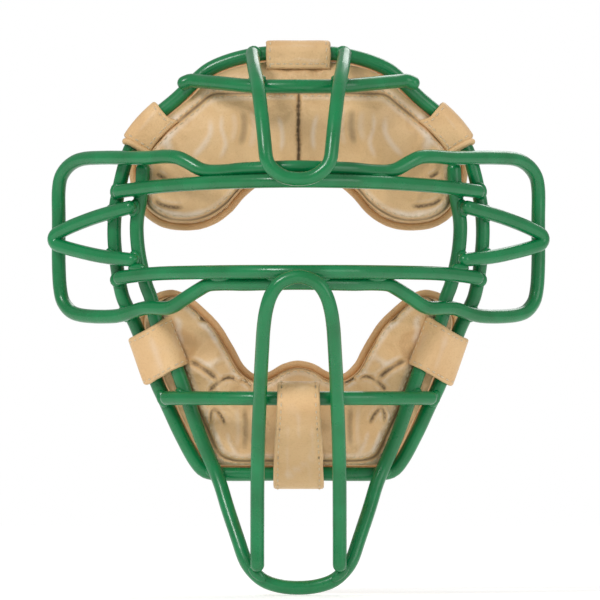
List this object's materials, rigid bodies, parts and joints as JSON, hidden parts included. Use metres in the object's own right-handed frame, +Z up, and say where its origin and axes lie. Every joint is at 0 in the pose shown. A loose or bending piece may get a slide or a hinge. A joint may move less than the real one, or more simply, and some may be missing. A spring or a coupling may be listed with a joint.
{
  "type": "catcher's mask",
  "caption": "Traditional baseball catcher's mask: welded round-wire cage with ear guards and throat guard, leather forehead and chin pads held by hook-and-loop straps.",
  "frame": {"origin": "centre of the eye opening, in the plane of the rear ring's top and bottom", "axes": "+Z up, +Y back toward the wearer's face, +X to the right when the mask is seen from the front"},
  "size_m": [0.2518, 0.1229, 0.2768],
  "materials": {
    "coated_wire": "glossy green vinyl coating over steel rod",
    "pad_leather": "natural tan, soft, wrinkled",
    "welt": "rolled tan piping",
    "strap_leather": "natural tan, smooth, stitched edges",
    "tape": "hook-and-loop tape",
    "foam": "matte cushion foam"
  },
  "bodies": {
    "mask": {"rear_ring": "coated_wire", "throat_loop": "coated_wire", "ear_guard_loop": "coated_wire", "upper_eye_bar": "coated_wire", "lower_eye_bar": "coated_wire", "forehead_bar": "coated_wire", "mouth_bar": "coated_wire", "brow_hoop": "coated_wire", "nose_hoop": "coated_wire", "temple_v_right": "coated_wire", "temple_v_left": "coated_wire", "forehead_pad_foam": "foam", "forehead_pad_front_cover": "pad_leather", "forehead_pad_back_cover": "pad_leather", "forehead_pad_welt": "welt", "chin_pad_foam": "foam", "chin_pad_front_cover": "pad_leather", "chin_pad_back_cover": "pad_leather", "chin_pad_welt": "welt", "top_strap": "strap_leather", "top_loop_patch": "tape", "chin_strap": "strap_leather", "chin_loop_patch": "tape", "upper_right_strap": "strap_leather", "upper_right_loop_patch": "tape", "upper_left_strap": "strap_leather", "upper_left_loop_patch": "tape", "lower_right_strap": "strap_leather", "lower_right_loop_patch": "tape", "lower_left_strap": "strap_leather", "lower_left_loop_patch": "tape"},
    "top_flap": {"top_strap_flap": "strap_leather", "top_hook_patch": "tape"},
    "chin_flap": {"chin_strap_flap": "strap_leather", "chin_hook_patch": "tape"},
    "upper_right_flap": {"upper_right_strap_flap": "strap_leather", "upper_right_hook_patch": "tape"},
    "upper_left_flap": {"upper_left_strap_flap": "strap_leather", "upper_left_hook_patch": "tape"},
    "lower_right_flap": {"lower_right_strap_flap": "strap_leather", "lower_right_hook_patch": "tape"},
    "lower_left_flap": {"lower_left_strap_flap": "strap_leather", "lower_left_hook_patch": "tape"}
  },
  "joints": [
    {"name": "top_flap_hinge", "type": "hinge", "parent": "mask", "child": "top_flap", "pos_m": [0, 0, 0.0938], "axis": [1, 0, 0], "range_deg": [0, 135]},
    {"name": "chin_flap_hinge", "type": "hinge", "parent": "mask", "child": "chin_flap", "pos_m": [0, 0, -0.1305], "axis": [-1, 0, 0], "range_deg": [0, 135]},
    {"name": "upper_right_flap_hinge", "type": "hinge", "parent": "mask", "child": "upper_right_flap", "pos_m": [0.08075, 0.00882, 0.05564], "axis": [0.6523, 0.1486, -0.7432], "range_deg": [0, 135]},
    {"name": "upper_left_flap_hinge", "type": "hinge", "parent": "mask", "child": "upper_left_flap", "pos_m": [-0.08075, 0.00882, 0.05564], "axis": [0.6523, -0.1486, 0.7432], "range_deg": [0, 135]},
    {"name": "lower_right_flap_hinge", "type": "hinge", "parent": "mask", "child": "lower_right_flap", "pos_m": [0.08229, 0.00891, -0.06471], "axis": [-0.3316, -0.0767, -0.9403], "range_deg": [0, 135]},
    {"name": "lower_left_flap_hinge", "type": "hinge", "parent": "mask", "child": "lower_left_flap", "pos_m": [-0.08229, 0.00891, -0.06471], "axis": [-0.3316, 0.0767, 0.9403], "range_deg": [0, 135]}
  ]
}
